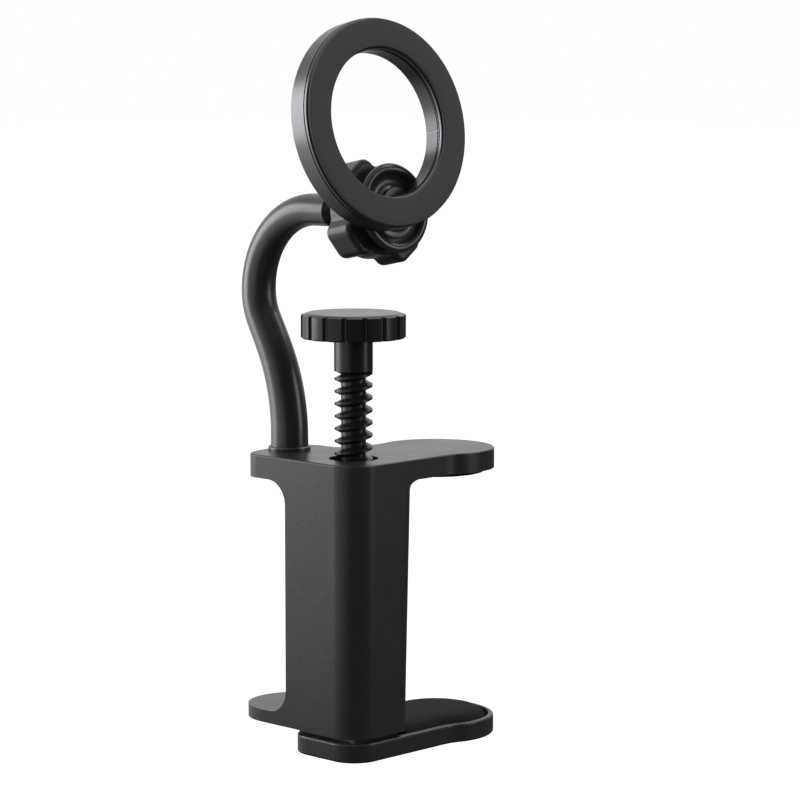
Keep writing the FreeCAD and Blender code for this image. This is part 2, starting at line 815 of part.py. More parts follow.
def make_bent_arm():
    """Tapered arm along straight runs and tangent arcs."""
    body = body_called("bent_arm")
    path = sketch_on(body, "arm_path", "YZ_Plane")
    outline(path, [
        (S["arm_foot"], ZERO),
        (S["arm_foot"], S["arm_rise"]),
        (bend_one_y, bend_one_z, S["arm_lower_radius"], -1),
        (bend_two_y, bend_two_z),
        (arch_start_y, arch_start_z, S["arm_upper_radius"], 1),
        (arch_end_y, arch_end_z, S["arm_arch_radius"], 1),
        (arm_end_y, arch_end_z),
    ], closed=False)
    foot = sketch_on(body, "arm_foot_section", "XY_Plane")
    circle(foot, ZERO, S["arm_foot"], S["arm_foot_radius"])
    end = sketch_on(body, "arm_end_section", "XZ_Plane", -arm_end_y)
    circle(end, ZERO, arch_end_z, S["arm_end_radius"])
    arm = body.newObject("PartDesign::AdditivePipe", "arm")
    arm.Profile = foot
    arm.Spine = (path, [])
    arm.Sections = [end]
    arm.Transformation = "Multisection"
    doc.recompute()
    collar = sketch_on(body, "arm_collar_plan", "XY_Plane")
    circle(collar, ZERO, S["arm_foot"], S["arm_collar_radius"])
    pad(body, "arm_collar", collar, S["arm_collar_height"])

    def collar_rim(place):
        reach = math.hypot(place.x, place.y - S["arm_foot"].value)
        return near(place.z, S["arm_collar_height"]) and near(reach, S["arm_collar_radius"])

    dress(body, "Fillet", "arm_collar_edge", S["arm_collar_round"], collar_rim)
    hole = sketch_on(body, "arm_screw_plan", "XY_Plane")
    circle(hole, ZERO, S["arm_foot"], S["arm_screw_radius"])
    pocket(body, "arm_screw_hole", hole, S["arm_screw_depth"], up=True)
    hole = sketch_on(body, "neck_plan", "XZ_Plane", -arm_end_y)
    circle(hole, ZERO, arch_end_z, S["neck_radius"])
    pocket(body, "neck_hole", hole, S["neck_depth"])

    def arm_rim(place):
        reach = math.hypot(place.x, place.z - arch_end_z.value)
        return near(place.y, arm_end_y) and near(reach, S["arm_end_radius"])

    dress(body, "Chamfer", "arm_end_edge", S["arm_end_chamfer"], arm_rim)
    return body


def make_arm_fixing():
    """Screw and washer that hold the arm from below, about the arm's own foot."""
    washer_bottom = arm_seat - S["arm_washer_thick"]
    head_bottom = washer_bottom - S["arm_head_height"]
    screw = body_called("arm_screw")
    turned(screw, "screw", [
        (ZERO, S["arm_screw_depth"]),
        (ZERO, head_bottom),
        (S["arm_head_radius"], head_bottom),
        (S["arm_head_radius"], washer_bottom),
        (S["arm_screw_radius"], washer_bottom),
        (S["arm_screw_radius"], S["arm_screw_depth"]),
    ])
    washer = body_called("arm_washer")
    turned(washer, "washer", box_outline(S["arm_screw_radius"], S["arm_washer_radius"],
                                         washer_bottom, arm_seat))
    return screw, washer


def make_ball_stud():
    """Ball and neck, drawn about the ball's centre with the neck along -Z."""
    body = body_called("ball_stud")
    neck_end = -(arm_end_y + S["ball_reach"] + S["neck_depth"])
    root = -sqrt(S["ball_radius"] * S["ball_radius"] - S["neck_radius"] * S["neck_radius"])
    turned(body, "stud", [
        (ZERO, neck_end),
        (S["neck_radius"], neck_end),
        (S["neck_radius"], root),
        (S["ball_radius"], ZERO, S["ball_radius"], 1),
        (ZERO, S["ball_radius"], S["ball_radius"], 1),
    ])
    return body


def make_friction_pad():
    """Cupped pad between the ball and the bottom of the socket."""
    body = body_called("friction_pad")
    half = S["pad_half_width"]
    front = sqrt(seat_radius * seat_radius - half * half)
    back = sqrt(pad_back_radius * pad_back_radius - half * half)
    turned(body, "pad", [
        (ZERO, seat_radius),
        (half, front, seat_radius, -1),
        (half, back),
        (ZERO, pad_back_radius, pad_back_radius, 1),
    ])
    return body


def make_seat_ring():
    """Ring behind the ball, pressed on by the lock nut's lip."""
    body = body_called("seat_ring")
    front, back = -S["seat_ring_front"], -seat_ring_back
    inner_front = sqrt(seat_radius * seat_radius - front * front)
    inner_back = sqrt(seat_radius * seat_radius - back * back)
    turned(body, "ring", [
        (inner_front, front),
        (inner_back, back, seat_radius, 1),
        (seat_ring_radius, back),
        (seat_ring_radius, front),
    ])
    return body


def make_socket_cup():
    """Dished socket with a spherical seat, a threaded skirt and the boss for the ring."""
    body = body_called("socket_cup")
    rim, width = S["socket_rim_radius"], S["socket_rim_width"]
    height = S["socket_rim_height"]
    boss = S["socket_boss_radius"]
    seat_top = socket_seat_radius
    mouth = -S["socket_mouth"]
    seat_edge = sqrt(socket_seat_radius * socket_seat_radius - mouth * mouth)
    turned(body, "cup", [
        (ZERO, S["ring_back"]),
        (ZERO, seat_top),
        (socket_seat_radius, ZERO, socket_seat_radius, -1),
        (seat_edge, mouth, socket_seat_radius, -1),
        (skirt_radius, mouth),
        (skirt_radius, S["socket_skirt"]),
        (S["socket_waist"], S["socket_skirt"]),
        (rim, height),
        (rim - width, height, width * RIM_FULLNESS, 1),
        (boss, height, S["socket_dish_radius"], -1),
        (boss, S["ring_back"]),
    ])
    for side in (-1, 1):
        hole = sketch_on(body, f"screw_hole_plan_{side}", "XY_Plane", S["ring_back"])
        circle(hole, S["head_screw_spread"] * side, ZERO, S["head_screw_radius"])
        pocket(body, f"screw_hole_{side}", hole, S["head_screw_depth"])
    return body


def make_lock_nut():
    """Lobed nut on the socket's skirt, with a flared lip behind the ball."""
    body = body_called("lock_nut")
    plan = sketch_on(body, "nut_plan", "XY_Plane", nut_back)
    circle(plan, ZERO, ZERO, S["nut_radius"])
    pad(body, "nut", plan, S["nut_length"])
    half, reach = S["nut_lobe_width"] / 2, S["nut_lobe_reach"]
    corner = S["nut_lobe_round"]
    plan = sketch_on(body, "lobe_plan", "XY_Plane", nut_back)
    outline(plan, [
        (nut_bore_radius, -half),
        (reach - corner, -half),
        (reach, corner - half, corner, 1),
        (reach, half - corner),
        (reach - corner, half, corner, 1),
        (nut_bore_radius, half),
    ])
    lobe = pad(body, "lobe", plan, S["nut_length"])
    repeat_round(body, "lobes", [lobe], S["nut_lobes"])

    lobe_turn = 2 * math.pi / S["nut_lobes"].value

    def valley(place):
        turn = math.atan2(place.y, place.x)
        across = math.sin(turn - lobe_turn * round(turn / lobe_turn)) * S["nut_radius"].value
        return near(math.hypot(place.x, place.y), S["nut_radius"]) and near(abs(across), half)

    dress(body, "Fillet", "valleys", S["nut_valley_round"], valley)
    dress(body, "Fillet", "nut_edges", S["nut_edge"],
          lambda place: near(place.z, nut_back) or near(place.z, S["nut_front"]))
    bored(body, "nut_bore", [
        (ZERO, S["nut_front"]),
        (ZERO, nut_back),
        (S["nut_lip_radius"] + S["nut_lip_flare"], nut_back),
        (S["nut_lip_radius"], lip_front),
        (nut_bore_radius, lip_front),
        (nut_bore_radius, S["nut_front"]),
    ])
    return body


def make_ring_shells():
    """Housing, cover, soft face and yoke of the ring head, about the ring's own axis."""
    inner, outer = S["ring_inner"], S["ring_outer"]
    housing = body_called("ring_housing")
    turned(housing, "shell", [
        (inner, S["ring_back"]),
        (outer, S["ring_back"]),
        (outer, housing_front),
        (channel_outer, housing_front),
        (channel_outer, housing_inside),
        (channel_inner, housing_inside),
        (channel_inner, housing_front),
        (inner, housing_front),
    ])
    dress(housing, "Fillet", "back_edges", S["housing_edge"],
          lambda place: near(place.z, S["ring_back"]))
    for side in (-1, 1):
        across = S["head_screw_spread"] * side
        hole = sketch_on(housing, f"screw_hole_plan_{side}", "XY_Plane", housing_inside)
        circle(hole, across, -S["ring_offset"], S["head_screw_radius"])
        pocket(housing, f"screw_hole_{side}", hole, S["housing_floor"])
        hole = sketch_on(housing, f"screw_head_plan_{side}", "XY_Plane", housing_inside)
        circle(hole, across, -S["ring_offset"], S["head_screw_head"])
        pocket(housing, f"screw_head_{side}", hole, S["head_screw_sink"])

    cover = body_called("ring_cover")
    step, groove = S["cover_step"], S["cover_groove"]
    chamfer = S["cover_chamfer"]
    groove_top = housing_front + groove
    turned(cover, "plate", [
        (inner + step + groove, housing_front),
        (outer - step - groove, housing_front),
        (outer - step - groove, groove_top),
        (outer - step, groove_top),
        (outer - step, cover_front - chamfer),
        (outer - step - chamfer, cover_front),
        (inner + step + chamfer, cover_front),
        (inner + step, cover_front - chamfer),
        (inner + step, groove_top),
        (inner + step + groove, groove_top),
    ])
    face = body_called("ring_pad")
    turned(face, "face", box_outline(inner + S["ring_pad_inset"], outer - S["ring_pad_inset"],
                                     cover_front, cover_front + S["ring_pad_thick"]))
    dress(face, "Fillet", "face_edges", S["ring_pad_round"],
          lambda place: near(place.z, cover_front + S["ring_pad_thick"]))
    yoke = body_called("ring_yoke")
    turned(yoke, "yoke", box_outline(channel_inner, channel_outer,
                                     housing_inside, housing_inside + S["yoke_thick"]))
    return housing, cover, face, yoke


def primitive(kind, name, **formulas):
    """A Part primitive whose properties follow the given formulas."""
    made = doc.addObject(f"Part::{kind}", name)
    for prop, formula in formulas.items():
        made.setExpression(prop, formula.text)
    return made


def make_ring_magnets():
    """Arc magnets on the yoke, a ring of separate solids."""
    count = int(S["magnets"].value)
    low = housing_inside + S["yoke_thick"]
    height = housing_front - low
    arc = dim(360) / S["magnets"] - S["magnet_gap"]
    arcs = []
    for index in range(count):
        outer = primitive("Cylinder", f"magnet_outer_{index}",
                          Radius=channel_outer, Height=height, Angle=arc)
        inner = primitive("Cylinder", f"magnet_inner_{index}",
                          Radius=channel_inner, Height=height, Angle=arc)
        magnet = doc.addObject("Part::Cut", f"magnet_{index}")
        magnet.Base = outer
        magnet.Tool = inner
        turn = FreeCAD.Rotation(Vector(0, 0, 1), index * 360.0 / count)
        magnet.Placement = FreeCAD.Placement(Vector(0, 0, low.value), turn)
        arcs.append(magnet)
    return compound("ring_magnets", arcs)


def make_head_screws():
    """Two screws from the housing's channel into the socket's boss."""
    screws = []
    bottom = S["ring_back"] - S["head_screw_depth"]
    head_bottom = housing_inside - S["head_screw_sink"]
    for side in (-1, 1):
        shank = primitive("Cylinder", f"head_screw_shank_{side}",
                          Radius=S["head_screw_radius"], Height=head_bottom - bottom)
        shank.Placement.Base = Vector(0, 0, bottom.value)
        head = primitive("Cylinder", f"head_screw_head_{side}",
                         Radius=S["head_screw_head"], Height=S["head_screw_sink"])
        head.Placement.Base = Vector(0, 0, head_bottom.value)
        screw = doc.addObject("Part::Fuse", f"head_screw_{side}")
        screw.Base = shank
        screw.Tool = head
        screw.Placement.Base = Vector(S["head_screw_spread"].value * side, 0, 0)
        screws.append(screw)
    return compound("head_screws", screws)


def compound(label, pieces):
    """Separate solids that share one file."""
    group = doc.addObject("Part::Compound", label)
    group.Label = label
    group.Links = pieces
    doc.recompute()
    return group


def place_all(groups):
    """Put every sub-part in the holder's frame."""
    base = Vector(-S["jaw_reach"].value, -S["jaw_offset"].value,
                  S["deck_thick"].value + S["upper_pad_proud"].value)
    upright = FreeCAD.Rotation()
    forward = FreeCAD.Rotation(Vector(1, 0, 0), 90)
    ball = base + Vector(0, -S["ball_reach"].value, arch_end_z.value)
    aim = FreeCAD.Rotation(Vector(0, 0, 1), S["head_pan"].value).multiply(
        FreeCAD.Rotation(Vector(1, 0, 0), 90 - S["head_tilt"].value))
    spin = FreeCAD.Rotation(Vector(0, 0, 1), S["head_roll"].value)
    nut_spin = FreeCAD.Rotation(Vector(0, 0, 1), S["nut_roll"].value)
    head = FreeCAD.Placement(ball, aim.multiply(spin))
    ring = head.multiply(FreeCAD.Placement(Vector(0, S["ring_offset"].value, 0), upright))
    frames = {
        "clamp": FreeCAD.Placement(base, upright),
        "arm_foot": FreeCAD.Placement(base + Vector(0, S["arm_foot"].value, 0), upright),
        "stud": FreeCAD.Placement(ball, forward),
        "head": head,
        "nut": FreeCAD.Placement(ball, aim.multiply(nut_spin)),
        "ring": ring,
    }
    for name, pieces in groups.items():
        for piece in pieces:
            piece.Placement = frames[name]
    doc.recompute()


def check_all(pieces):
    """Stop before anything is written if an object failed."""
    for item in doc.Objects:
        if "Invalid" in item.State or "Error" in item.State:
            raise RuntimeError(f"{item.Label} failed: {item.State}")
    for piece in pieces:
        if piece.Shape.isNull() or not piece.Shape.isValid():
            raise RuntimeError(f"{piece.Label} has no valid shape")


def main():
    """Build every sub-part, place it, check it and write its file."""
    groups = {
        "clamp": [make_clamp_body(), make_thread_bush(), make_clamp_screw(), *make_swivel(),
                  make_lower_jaw(), *make_pads(), make_bent_arm()],
        "arm_foot": [*make_arm_fixing()],
        "stud": [make_ball_stud()],
        "head": [make_friction_pad(), make_seat_ring(), make_socket_cup(), make_head_screws()],
        "nut": [make_lock_nut()],
        "ring": [*make_ring_shells(), make_ring_magnets()],
    }
    place_all(groups)
    pieces = [piece for group in groups.values() for piece in group]
    check_all(pieces)
    os.makedirs("parts", exist_ok=True)
    for piece in pieces:
        piece.Shape.exportStep(f"parts/{piece.Label}.step")


main()
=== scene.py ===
"""Looks of the guitar phone holder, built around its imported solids.

Lengths are in metres. Sizes that are easier to read in millimetres are multiplied by MM.
"""

import logging
import math
from collections.abc import Callable, Sequence
from dataclasses import dataclass, field
from enum import Enum
from typing import Any

import bpy
from mathutils import Matrix, Vector
from mathutils.kdtree import KDTree

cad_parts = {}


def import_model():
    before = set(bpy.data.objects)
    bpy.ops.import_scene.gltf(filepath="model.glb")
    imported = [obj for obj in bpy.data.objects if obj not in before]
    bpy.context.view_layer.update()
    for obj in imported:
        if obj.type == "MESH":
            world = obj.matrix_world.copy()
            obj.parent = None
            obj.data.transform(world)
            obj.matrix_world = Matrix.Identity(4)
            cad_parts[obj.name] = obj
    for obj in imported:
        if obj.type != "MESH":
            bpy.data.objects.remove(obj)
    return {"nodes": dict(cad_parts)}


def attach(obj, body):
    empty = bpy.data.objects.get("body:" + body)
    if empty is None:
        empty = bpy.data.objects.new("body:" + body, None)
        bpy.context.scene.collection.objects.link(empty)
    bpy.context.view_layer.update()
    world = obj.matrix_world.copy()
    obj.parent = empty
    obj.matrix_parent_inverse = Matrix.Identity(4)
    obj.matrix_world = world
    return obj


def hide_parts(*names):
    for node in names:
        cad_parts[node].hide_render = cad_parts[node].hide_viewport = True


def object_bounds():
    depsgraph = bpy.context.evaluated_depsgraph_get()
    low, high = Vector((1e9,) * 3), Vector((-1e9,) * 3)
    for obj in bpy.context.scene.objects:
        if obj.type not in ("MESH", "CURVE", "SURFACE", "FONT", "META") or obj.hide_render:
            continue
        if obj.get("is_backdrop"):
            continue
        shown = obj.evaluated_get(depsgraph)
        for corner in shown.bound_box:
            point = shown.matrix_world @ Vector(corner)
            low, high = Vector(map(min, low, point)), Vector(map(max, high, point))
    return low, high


MM = 0.001
# Points nearer to each other than this count as one.
CLOSE = 0.001 * MM
log = logging.getLogger("phone_holder")

NodeLinks = dict[str | int, Any]
Axis = tuple[tuple[float, float, float], tuple[float, float, float]]

# Middle of the ring's back, and the way that the ring faces.
RING_AXIS: Axis = (
    (-40.3748 * MM, -14.0591 * MM, 100.1272 * MM),
    (-0.0428324, -0.9810241, 0.1890954),
)


class Grain(Enum):
    """How a moulded or machined surface was finished."""

    SPARKED = "spark-eroded mould, a fine even pebble"
    POLISHED = "polished mould, faint waves only"
    TURNED = "turned and anodised, fine rings"
    SOFT = "moulded rubber, a dull bloom"


def linear(hex_colour: str) -> tuple[float, float, float, float]:
    """Turn an sRGB hex value to a linear colour.

    Args:
        hex_colour: six hex digits with a leading hash.

    Returns:
        Linear red, green and blue, with alpha 1.
    """
    channels = [int(hex_colour[start:start + 2], 16) / 255 for start in (1, 3, 5)]
    values = [c / 12.92 if c <= 0.04045 else ((c + 0.055) / 1.055) ** 2.4 for c in channels]
    return (values[0], values[1], values[2], 1.0)


def add_node(
    tree: bpy.types.NodeTree,
    kind: str,
    settings: NodeLinks | None = None,
    links: NodeLinks | None = None,
) -> bpy.types.Node:
    """Add a node with its settings and links.

    Args:
        tree: the node tree that gets the node.
        kind: the node's type name.
        settings: attribute names, or input names and numbers, with their values.
        links: input names or numbers, with the output socket that feeds each.

    Returns:
        The new node.
    """
    node = tree.nodes.new(kind)
    for name, value in (settings or {}).items():
        if isinstance(name, str) and hasattr(node, name):
            setattr(node, name, value)
        else:
            node.inputs[name].default_value = value
    for name, socket in (links or {}).items():
        tree.links.new(socket, node.inputs[name])
    return node


@dataclass(frozen=True)
class Finish:
    """A surface: what it is made of, how it was made and what that gives the eye.

    The grain is a little coarser than the real one, so that it shows at the photograph's distance.
    A specular level under 0.5 stands for a mould finish that scatters part of the shine.
    """

    name: str
    colour: str
    roughness: float
    grain: Grain
    grain_mm: float
    grain_depth_mm: float
    ior: float = 1.5
    metallic: float = 0.0
    roughness_spread: float = 0.06
    colour_spread: float = 0.12
    specular: float = 0.5
    mottle_mm: float = 9.0
    cloud_share: float = 0.35
    axis: Axis | None = None

    def material(self) -> bpy.types.Material:
        """Make the finish as a material.

        Returns:
            A material that reads Object coordinates only.
        """
        made = bpy.data.materials.new(self.name)
        made.use_nodes = True
        tree = made.node_tree
        tree.nodes.clear()
        place = add_node(tree, "ShaderNodeTexCoord").outputs["Object"]
        mottle = add_node(
            tree, "ShaderNodeTexNoise",
            {"Scale": 1 / (self.mottle_mm * MM), "Detail": 3.0, "Roughness": 0.6},
            {"Vector": place},
        ).outputs["Fac"]
        dark, light = (self._shade(1 + way * self.colour_spread) for way in (-1, 1))
        tint = add_node(
            tree, "ShaderNodeMix", {"data_type": "RGBA", 6: dark, 7: light}, {0: mottle}
        ).outputs[2]
        smooth, dull = (self.roughness + way * self.roughness_spread for way in (-1, 1))
        rough = add_node(
            tree, "ShaderNodeMapRange", {"To Min": smooth, "To Max": dull}, {"Value": mottle}
        ).outputs["Result"]
        bump = add_node(
            tree, "ShaderNodeBump", {"Strength": 1.0, "Distance": self.grain_depth_mm * MM},
            {"Height": self._height(tree, place)},
        ).outputs["Normal"]
        shader = add_node(
            tree, "ShaderNodeBsdfPrincipled",
            {"Metallic": self.metallic, "IOR": self.ior, "Specular IOR Level": self.specular},
            {"Base Color": tint, "Roughness": rough, "Normal": bump},
        )
        add_node(tree, "ShaderNodeOutputMaterial", links={"Surface": shader.outputs["BSDF"]})
        return made

    def _shade(self, times: float) -> tuple[float, ...]:
        """The finish's linear colour, made lighter or darker."""
        return tuple(min(1.0, part * times) for part in linear(self.colour)[:3]) + (1.0,)

    def _height(
        self, tree: bpy.types.NodeTree, place: bpy.types.NodeSocket
    ) -> bpy.types.NodeSocket:
        """Height of the surface's grain.

        Args:
            tree: the material's node tree.
            place: the coordinates that the grain follows.

        Returns:
            The socket with the height.
        """
        scale = 1 / (self.grain_mm * MM)
        if self.grain in (Grain.SPARKED, Grain.SOFT):
            pebble = add_node(
                tree, "ShaderNodeTexVoronoi", {"feature": "F1", "Scale": scale}, {"Vector": place}
            ).outputs["Distance"]
            cloud = add_node(
                tree, "ShaderNodeTexNoise", {"Scale": scale * self.cloud_share, "Detail": 4.0},
                {"Vector": place},
            ).outputs["Fac"]
            return add_node(
                tree, "ShaderNodeMath", {"operation": "ADD"}, {0: pebble, 1: cloud}
            ).outputs["Value"]
        if self.axis is not None:
            place = self._rings(tree, place)
        return add_node(
            tree, "ShaderNodeTexNoise", {"Scale": scale, "Detail": 2.0, "Roughness": 0.5},
            {"Vector": place},
        ).outputs["Fac"]

    def _rings(
        self, tree: bpy.types.NodeTree, place: bpy.types.NodeSocket
    ) -> bpy.types.NodeSocket:
        """Coordinates that change only away from and along the turning axis, as a lathe's marks do.

        Args:
            tree: the material's node tree.
            place: the piece's own coordinates.

        Returns:
            The socket with the distance from the axis and the height along it.
        """
        centre, facing = self.axis
        arm = add_node(
            tree, "ShaderNodeVectorMath", {"operation": "SUBTRACT", 1: centre}, {0: place}
        ).outputs["Vector"]
        height = add_node(
            tree, "ShaderNodeVectorMath", {"operation": "DOT_PRODUCT", 1: facing}, {0: arm}
        ).outputs["Value"]
        reach = add_node(
            tree, "ShaderNodeVectorMath", {"operation": "CROSS_PRODUCT", 1: facing}, {0: arm}
        ).outputs["Vector"]
        radius = add_node(
            tree, "ShaderNodeVectorMath", {"operation": "LENGTH"}, {0: reach}
        ).outputs["Value"]
        return add_node(
            tree, "ShaderNodeCombineXYZ", links={0: radius, 1: height}
        ).outputs["Vector"]


# ABS from a spark-eroded mould: satin black with a fine pebble that breaks up the reflections.
MOULDING = Finish(
    "satin_black_abs", "#202021", 0.3, Grain.SPARKED, 0.5, 0.012, ior=1.53, specular=0.25
)
# Glass-filled nylon: a little shinier than the ABS, with faint flow waves.
NYLON = Finish("black_nylon", "#1b1b1c", 0.3, Grain.SPARKED, 0.6, 0.008, ior=1.53)
# The same nylon from a blasted mould, for the screw and its knob: less shine at a low angle.
BLASTED = Finish(
    "blasted_black_nylon", "#161617", 0.28, Grain.SPARKED, 0.45, 0.005, ior=1.53, specular=0.27
)
# ABS from a polished mould: clear dark reflections with soft edges.
SOCKET = Finish(
    "polished_black_abs", "#1e1e1f", 0.24, Grain.POLISHED, 3.0, 0.01, ior=1.53,
    roughness_spread=0.03,
)
# Aluminium, turned, bead blasted and anodised dark grey: wide soft reflections along fine rings.
ANODISED = Finish(
    "dark_anodised_aluminium", "#505052", 0.3, Grain.TURNED, 0.4, 0.004, metallic=1.0,
    colour_spread=0.05, axis=RING_AXIS,
)
# The strip of stainless steel inside the ring, brushed along its length before it was bent: a
# bright band that turns dark where the ring faces away from the light.
BRUSHED = Finish(
    "brushed_dark_strip", "#404042", 0.3, Grain.TURNED, 0.4, 0.002, metallic=1.0,
    colour_spread=0.08, axis=RING_AXIS,
)
# Silicone face: matte, slightly lighter than the mouldings.
SILICONE = Finish("matte_silicone", "#323232", 0.72, Grain.SOFT, 0.35, 0.02, ior=1.41)
# Rubber grip: deep matte black.
RUBBER = Finish(
    "black_rubber", "#111111", 0.88, Grain.SOFT, 0.5, 0.02, ior=1.52, specular=0.15
)
# Zinc-plated steel: bright, slightly cloudy.
STEEL = Finish(
    "zinc_plated_steel", "#b9bbbd", 0.28, Grain.TURNED, 0.5, 0.004, metallic=1.0,
    colour_spread=0.06,
)
# Machined brass: warm and bright, with fine tool marks.
BRASS = Finish(
    "machined_brass", "#c9a35a", 0.25, Grain.TURNED, 0.5, 0.004, metallic=1.0, colour_spread=0.05
)
# Acetal liners: waxy off-white.
ACETAL = Finish("natural_acetal", "#d8d6cf", 0.42, Grain.POLISHED, 2.0, 0.01, ior=1.48)
# Nickel-plated magnets: near mirrors.
NICKEL = Finish(
    "nickel_plate", "#c8c6c0", 0.14, Grain.POLISHED, 2.0, 0.003, metallic=1.0, colour_spread=0.04
)


class PaintShop:
    """Makes each finish's material once and hands it out."""

    def __init__(self) -> None:
        """Start with nothing made."""
        self._made: dict[str, bpy.types.Material] = {}

    def dress(self, piece: bpy.types.Object, finish: Finish) -> None:
        """Give a piece a finish.

        Args:
            piece: a solid of the frame or a new piece.
            finish: the surface that it gets.
        """
        if finish.name not in self._made:
            self._made[finish.name] = finish.material()
        piece.data.materials.clear()
        piece.data.materials.append(self._made[finish.name])
        log.info("%s: %s", piece.name, finish.name)


def only(piece: bpy.types.Object) -> None:
    """Leave edit mode, select one object alone and make it active.

    Args:
        piece: the object.
    """
    if bpy.context.mode != "OBJECT":
        bpy.ops.object.mode_set(mode="OBJECT")
    bpy.ops.object.select_all(action="DESELECT")
    bpy.context.view_layer.objects.active = piece
    piece.select_set(True)


def apply_modifier(piece: bpy.types.Object, kind: str, settings: dict[str, Any]) -> None:
    """Add a modifier to a piece and apply it.

    Args:
        piece: the piece to change.
        kind: the modifier's type name.
        settings: attribute names with their values.
    """
    only(piece)
    bpy.ops.object.modifier_add(type=kind)
    modifier = piece.modifiers[-1]
    for name, value in settings.items():
        setattr(modifier, name, value)
    bpy.ops.object.modifier_apply(modifier=modifier.name)


@dataclass
class SubAssembly:
    """Solids that belong together, with the finish of each."""

    finishes: dict[str, Finish]

    def build(self, nodes: dict[str, bpy.types.Object], shop: PaintShop) -> None:
        """Dress the solids and add the pieces that only the looks need.

        Args:
            nodes: the frame's solids by name.
            shop: the maker of materials.
        """
        for name, finish in self.finishes.items():
            shop.dress(nodes[name], finish)


@dataclass
class ScrewClamp(SubAssembly):
    """Column with the upper jaw, the screw and the sliding lower jaw, with rubber on both jaws."""

    finishes: dict[str, Finish] = field(default_factory=lambda: {
        "clamp_body": MOULDING,
        "lower_jaw": MOULDING,
        "clamp_screw": BLASTED,
        "thread_bush": BRASS,
        "swivel_screw": STEEL,
        "swivel_washer": STEEL,
        "lower_pad": RUBBER,
        "upper_pad": RUBBER,
    })
    voxel: float = 0.35 * MM
    # A point is on the underside within this share of a voxel.
    foot_share: float = 0.6
    # A point is on the edge where it has less than this share of the neighbours of one inside,
    # counted within this many voxels.
    edge_share: float = 0.7
    edge_reach: float = 3.0
    smoothing: int = 6
    fill: float = 0.9
    lower_crown: float = 7.5 * MM
    lower_edge: float = 0.25
    lower_pull: float = 0.965
    lower_cut: float = -24.0 * MM
    upper_crown: float = 5.0 * MM
    upper_edge: float = 0.8

    def build(self, nodes: dict[str, bpy.types.Object], shop: PaintShop) -> None:
        """Dress the solids and put moulded rubber pads in place of the plain ones.

        Args:
            nodes: the frame's solids by name.
            shop: the maker of materials.
        """
        super().build(nodes, shop)
        lower = self._cushion(nodes["lower_pad"], "lower_cushion")
        self._crown(lower, 1, self.lower_crown, self.lower_edge, self.lower_cut)
        self._pull_in(lower)
        upper = self._cushion(nodes["upper_pad"], "upper_cushion")
        self._crown(upper, -1, self.upper_crown, self.upper_edge, None)
        for piece, node, body in ((lower, "lower_pad", "jaw"), (upper, "upper_pad", "base")):
            apply_modifier(piece, "SMOOTH", {"factor": 0.5, "iterations": self.smoothing})
            only(piece)
            bpy.ops.object.shade_smooth()
            shop.dress(piece, RUBBER)
            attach(piece, body)
            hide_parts(node)

    def _cushion(self, node: bpy.types.Object, name: str) -> bpy.types.Object:
        """Start a cushion from a solid's own shape, in small even faces.

        Args:
            node: the plain solid.
            name: the cushion's name.

        Returns:
            The new piece.
        """
        piece = bpy.data.objects.new(name, node.data.copy())
        bpy.context.scene.collection.objects.link(piece)
        only(piece)
        bpy.ops.object.mode_set(mode="EDIT")
        bpy.ops.mesh.select_all(action="SELECT")
        bpy.ops.mesh.remove_doubles(threshold=CLOSE)
        bpy.ops.object.mode_set(mode="OBJECT")
        apply_modifier(piece, "REMESH", {"mode": "VOXEL", "voxel_size": self.voxel})
        return piece

    def _crown(
        self, piece: bpy.types.Object, way: int, run: float, edge: float, cut: float | None
    ) -> None:
        """Round a cushion off from its middle down to its edge.

        Args:
            piece: the cushion.
            way: 1 where it faces up, -1 where it faces down.
            run: distance from the edge over which it rises.
            edge: share of the height that is left at the edge.
            cut: place along X where a side is cut off straight and stays full, if there is one.
        """
        points = [vertex.co for vertex in piece.data.vertices]
        foot = min(way * point.z for point in points)
        brim = foot + self.foot_share * self.voxel
        rim = [point.copy() for point in points if way * point.z < brim]
        outline = self._outline(rim, cut)
        tree = KDTree(len(outline))
        for number, point in enumerate(outline):
            tree.insert((point.x, point.y, 0.0), number)
        tree.balance()
        for vertex in piece.data.vertices:
            place = vertex.co
            gap = tree.find((place.x, place.y, 0.0))[2]
            short = 1 - min(gap / run, 1.0)
            share = edge + (1 - edge) * (1 - short ** 3) ** (1 / 3)
            vertex.co.z = way * (foot + (way * place.z - foot) * share)

    def _pull_in(self, piece: bpy.types.Object) -> None:
        """Draw the lower cushion's round end in from the tray's rim.

        Args:
            piece: the cushion.
        """
        for vertex in piece.data.vertices:
            vertex.co.y *= self.lower_pull
            if vertex.co.x > 0:
                vertex.co.x *= self.lower_pull

    def _outline(self, rim: list[Vector], cut: float | None) -> list[Vector]:
        """Points of a flat patch that lie on its edge.

        Args:
            rim: points of the cushion's underside.
            cut: place along X of a straight side that doesn't count.

        Returns:
            The edge points, found as those with the fewest neighbours.
        """
        tree = KDTree(len(rim))
        for number, point in enumerate(rim):
            tree.insert(point, number)
        tree.balance()
        reach = self.edge_reach * self.voxel
        counts = [len(tree.find_range(point, reach)) for point in rim]
        most = self.edge_share * max(counts)
        edge = [point for point, count in zip(rim, counts) if count < most]
        return [point for point in edge if cut is None or point.x > cut]


@dataclass
class BentArm(SubAssembly):
    """Arm on the side tongue and the screw that holds it."""

    finishes: dict[str, Finish] = field(default_factory=lambda: {
        "bent_arm": NYLON,
        "arm_screw": STEEL,
        "arm_washer": STEEL,
    })


@dataclass
class BallJoint(SubAssembly):
    """Ball, liners, socket and the lobed nut that locks them."""

    finishes: dict[str, Finish] = field(default_factory=lambda: {
        "ball_stud": STEEL,
        "friction_pad": ACETAL,
        "seat_ring": ACETAL,
        "socket_cup": SOCKET,
        "lock_nut": MOULDING,
    })


